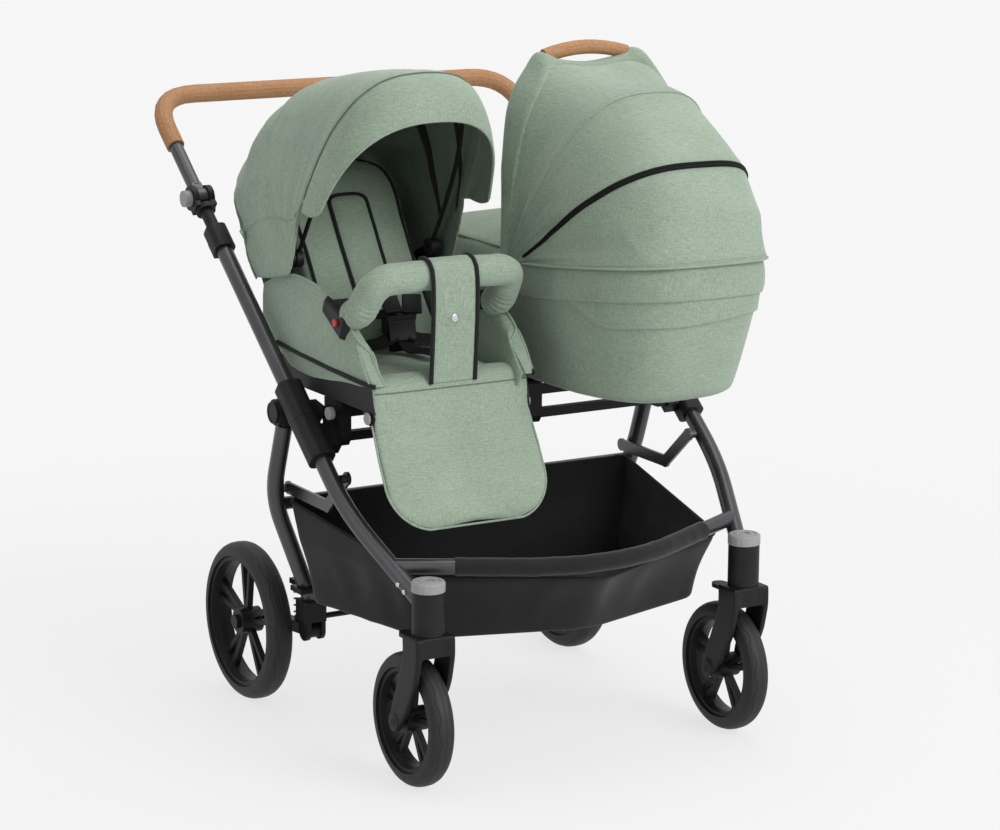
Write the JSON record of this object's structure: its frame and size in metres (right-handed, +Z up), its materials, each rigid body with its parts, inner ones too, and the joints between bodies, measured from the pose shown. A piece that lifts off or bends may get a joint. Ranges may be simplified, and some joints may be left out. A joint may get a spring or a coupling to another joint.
{
  "type": "twin pram",
  "caption": "Side-by-side twin pram: folding graphite chassis with a green pushchair seat on one side, a hooded carrycot on the other, a cork handle, a cloth basket and swivelling front wheels.",
  "frame": {"origin": "on the ground under the middle of the pram's bounding box", "axes": "+Z up, -Y to the front, +Y to the handle, +X across the pram to the carrycot's side"},
  "size_m": [0.776, 0.9839, 1.1407],
  "materials": {
    "graphite_tube": "satin graphite paint",
    "black_plastic": "fine-grained black",
    "grey_plastic": "light grey, satin",
    "red_plastic": "red",
    "tyre": "dull black rubber",
    "cork": "pressed cork, speckled",
    "spring_steel": "plated wire",
    "black_cloth": "black woven cloth",
    "sage_cloth": "sage green melange weave",
    "mattress_cloth": "off-white cotton"
  },
  "bodies": {
    "front_frame": {"front_tubes": "graphite_tube", "front_crossbar": "graphite_tube", "joint_lower_sleeves": "black_plastic", "cross_rails": "black_plastic", "seat_brackets": "black_plastic", "castor_housings": "black_plastic", "castor_caps": "grey_plastic", "basket": "black_cloth"},
    "castor_button_l": {"castor_button_left": "grey_plastic"},
    "castor_button_r": {"castor_button_right": "grey_plastic"},
    "castor_l": {"castor_fork_left": "black_plastic"},
    "castor_r": {"castor_fork_right": "black_plastic"},
    "lever_l": {"swivel_lever_left": "black_plastic"},
    "lever_r": {"swivel_lever_right": "black_plastic"},
    "front_wheel_l": {"front_tyre_left": "tyre", "front_rim_left": "black_plastic"},
    "front_wheel_r": {"front_tyre_right": "tyre", "front_rim_right": "black_plastic"},
    "upper_frame": {"side_tubes": "graphite_tube", "joint_upper_sleeves": "black_plastic", "joint_discs": "black_plastic", "slide_collars": "black_plastic"},
    "handle_slide_body": {"handle_sliders": "black_plastic"},
    "handle": {"handle_bar": "graphite_tube", "cork_grips": "cork", "grip_band": "black_plastic"},
    "tilt_button_l": {"tilt_button_left": "grey_plastic"},
    "tilt_button_r": {"tilt_button_right": "grey_plastic"},
    "rear_frame": {"rear_legs": "graphite_tube", "rear_cross_tube": "graphite_tube", "suspension_blocks": "black_plastic", "suspension_spring_left": "spring_steel", "suspension_spring_right": "spring_steel"},
    "brake": {"brake_bar": "black_plastic"},
    "arm_l": {"rear_arm_left": "black_plastic"},
    "arm_r": {"rear_arm_right": "black_plastic"},
    "rear_wheel_l": {"rear_tyre_left": "tyre", "rear_rim_left": "black_plastic"},
    "rear_wheel_r": {"rear_tyre_right": "tyre", "rear_rim_right": "black_plastic"},
    "links": {"folding_links": "graphite_tube"},
    "seat": {"seat_frame": "black_plastic", "seat_pad": "sage_cloth", "side_panels": "sage_cloth", "harness_buckle": "black_plastic"},
    "bumper": {"bumper_bar": "sage_cloth", "crotch_strap": "sage_cloth"},
    "bumper_button_l": {"bumper_button_left": "red_plastic"},
    "bumper_button_r": {"bumper_button_right": "red_plastic"},
    "backrest": {"backrest_board": "black_plastic", "backrest_pad": "sage_cloth", "canopy_fabric": "sage_cloth"},
    "canopy": {"canopy_bow": "black_plastic"},
    "foot": {"footrest": "sage_cloth"},
    "carrycot": {"carrycot_tub": "sage_cloth", "carrycot_mattress": "mattress_cloth", "carrycot_apron": "sage_cloth", "carrycot_hood": "sage_cloth"},
    "hood": {"hood_bow": "sage_cloth", "cork_handle": "cork"}
  },
  "joints": [
    {"name": "fold", "type": "hinge", "parent": "front_frame", "child": "upper_frame", "pos_m": [0, -0.10801, 0.56384], "axis": [1, 0, 0], "range_deg": [0, 100]},
    {"name": "rear_fold", "type": "hinge", "parent": "upper_frame", "child": "rear_frame", "pos_m": [0, -0.03197, 0.55319], "axis": [1, 0, 0], "range_deg": [-68, 0]},
    {"name": "link_fold", "type": "hinge", "parent": "front_frame", "child": "links", "pos_m": [0, -0.19005, 0.46993], "axis": [1, 0, 0], "range_deg": [0, 40]},
    {"name": "handle_slide", "type": "slide", "parent": "upper_frame", "child": "handle_slide_body", "axis": [0, 0.7727, 0.6347], "range_m": [-0.025, 0.09]},
    {"name": "handle_tilt", "type": "hinge", "parent": "handle_slide_body", "child": "handle", "pos_m": [0, 0.28828, 0.86283], "axis": [1, 0, 0], "range_deg": [-60, 45]},
    {"name": "castor_button_left", "type": "slide", "parent": "front_frame", "child": "castor_button_l", "axis": [0, 0, -1], "range_m": [0, 0.003], "stiffness_N_per_m": 300},
    {"name": "castor_swivel_left", "type": "hinge", "parent": "front_frame", "child": "castor_l", "pos_m": [-0.3, -0.404, 0.262], "axis": [0, 0, 1], "continuous": true},
    {"name": "swivel_lock_left", "type": "hinge", "parent": "castor_l", "child": "lever_l", "pos_m": [-0.3, -0.37, 0.244], "axis": [1, 0, 0], "range_deg": [0, 25]},
    {"name": "front_wheel_left", "type": "hinge", "parent": "castor_l", "child": "front_wheel_l", "pos_m": [-0.3, -0.356, 0.109], "axis": [1, 0, 0], "continuous": true},
    {"name": "tilt_button_left", "type": "slide", "parent": "handle_slide_body", "child": "tilt_button_l", "axis": [1, 0, 0], "range_m": [0, 0.004], "stiffness_N_per_m": 300},
    {"name": "suspension_left", "type": "hinge", "parent": "rear_frame", "child": "arm_l", "pos_m": [-0.276, 0.038, 0.152], "axis": [1, 0, 0], "range_deg": [0, 5], "stiffness_Nm_per_rad": 150, "springref_deg": -11.46, "deforming": ["suspension_spring_left"]},
    {"name": "rear_wheel_left", "type": "hinge", "parent": "arm_l", "child": "rear_wheel_l", "pos_m": [-0.32, 0.193, 0.137], "axis": [1, 0, 0], "continuous": true},
    {"name": "bumper_button_left", "type": "slide", "parent": "seat", "child": "bumper_button_l", "axis": [1, 0, 0], "range_m": [0, 0.002], "stiffness_N_per_m": 300},
    {"name": "castor_button_right", "type": "slide", "parent": "front_frame", "child": "castor_button_r", "axis": [0, 0, -1], "range_m": [0, 0.003], "stiffness_N_per_m": 300},
    {"name": "castor_swivel_right", "type": "hinge", "parent": "front_frame", "child": "castor_r", "pos_m": [0.3, -0.404, 0.262], "axis": [0, 0, 1], "continuous": true},
    {"name": "swivel_lock_right", "type": "hinge", "parent": "castor_r", "child": "lever_r", "pos_m": [0.3, -0.37, 0.244], "axis": [1, 0, 0], "range_deg": [0, 25]},
    {"name": "front_wheel_right", "type": "hinge", "parent": "castor_r", "child": "front_wheel_r", "pos_m": [0.3, -0.356, 0.109], "axis": [1, 0, 0], "continuous": true},
    {"name": "tilt_button_right", "type": "slide", "parent": "handle_slide_body", "child": "tilt_button_r", "axis": [-1, 0, 0], "range_m": [0, 0.004], "stiffness_N_per_m": 300},
    {"name": "suspension_right", "type": "hinge", "parent": "rear_frame", "child": "arm_r", "pos_m": [0.276, 0.038, 0.152], "axis": [1, 0, 0], "range_deg": [0, 5], "stiffness_Nm_per_rad": 150, "springref_deg": -11.46, "deforming": ["suspension_spring_right"]},
    {"name": "rear_wheel_right", "type": "hinge", "parent": "arm_r", "child": "rear_wheel_r", "pos_m": [0.32, 0.193, 0.137], "axis": [1, 0, 0], "continuous": true},
    {"name": "bumper_button_right", "type": "slide", "parent": "seat", "child": "bumper_button_r", "axis": [-1, 0, 0], "range_m": [0, 0.002], "stiffness_N_per_m": 300},
    {"name": "brake_pedal", "type": "hinge", "parent": "rear_frame", "child": "brake", "pos_m": [0, 0.028, 0.177], "axis": [1, 0, 0], "range_deg": [-20, 0]},
    {"name": "seat_lift", "type": "slide", "parent": "front_frame", "child": "seat", "axis": [0, 0, 1], "range_m": [0, 0.2]},
    {"name": "backrest_recline", "type": "hinge", "parent": "seat", "child": "backrest", "pos_m": [-0.183, 0.04, 0.625], "axis": [1, 0, 0], "range_deg": [-30, 0]},
    {"name": "canopy_fold", "type": "hinge", "parent": "backrest", "child": "canopy", "pos_m": [-0.183, 0.02, 0.795], "axis": [1, 0, 0], "range_deg": [-60, 0], "deforming": ["canopy_fabric"]},
    {"name": "footrest_swing", "type": "hinge", "parent": "seat", "child": "foot", "pos_m": [-0.183, -0.263, 0.582], "axis": [1, 0, 0], "range_deg": [-60, 0]},
    {"name": "bumper_pull", "type": "slide", "parent": "seat", "child": "bumper", "axis": [0, -1, 0], "range_m": [0, 0.05]},
    {"name": "carrycot_lift", "type": "slide", "parent": "front_frame", "child": "carrycot", "axis": [0, 0, 1], "range_m": [0, 0.2]},
    {"name": "hood_fold", "type": "hinge", "parent": "carrycot", "child": "hood", "pos_m": [0.177, -0.115, 0.78], "axis": [1, 0, 0], "range_deg": [0, 70], "deforming": ["carrycot_hood"]}
  ],
  "couplings": [
    {"joint": "rear_fold", "follows": "fold", "ratio": -0.66},
    {"joint": "link_fold", "follows": "fold", "ratio": 0.378}
  ]
}
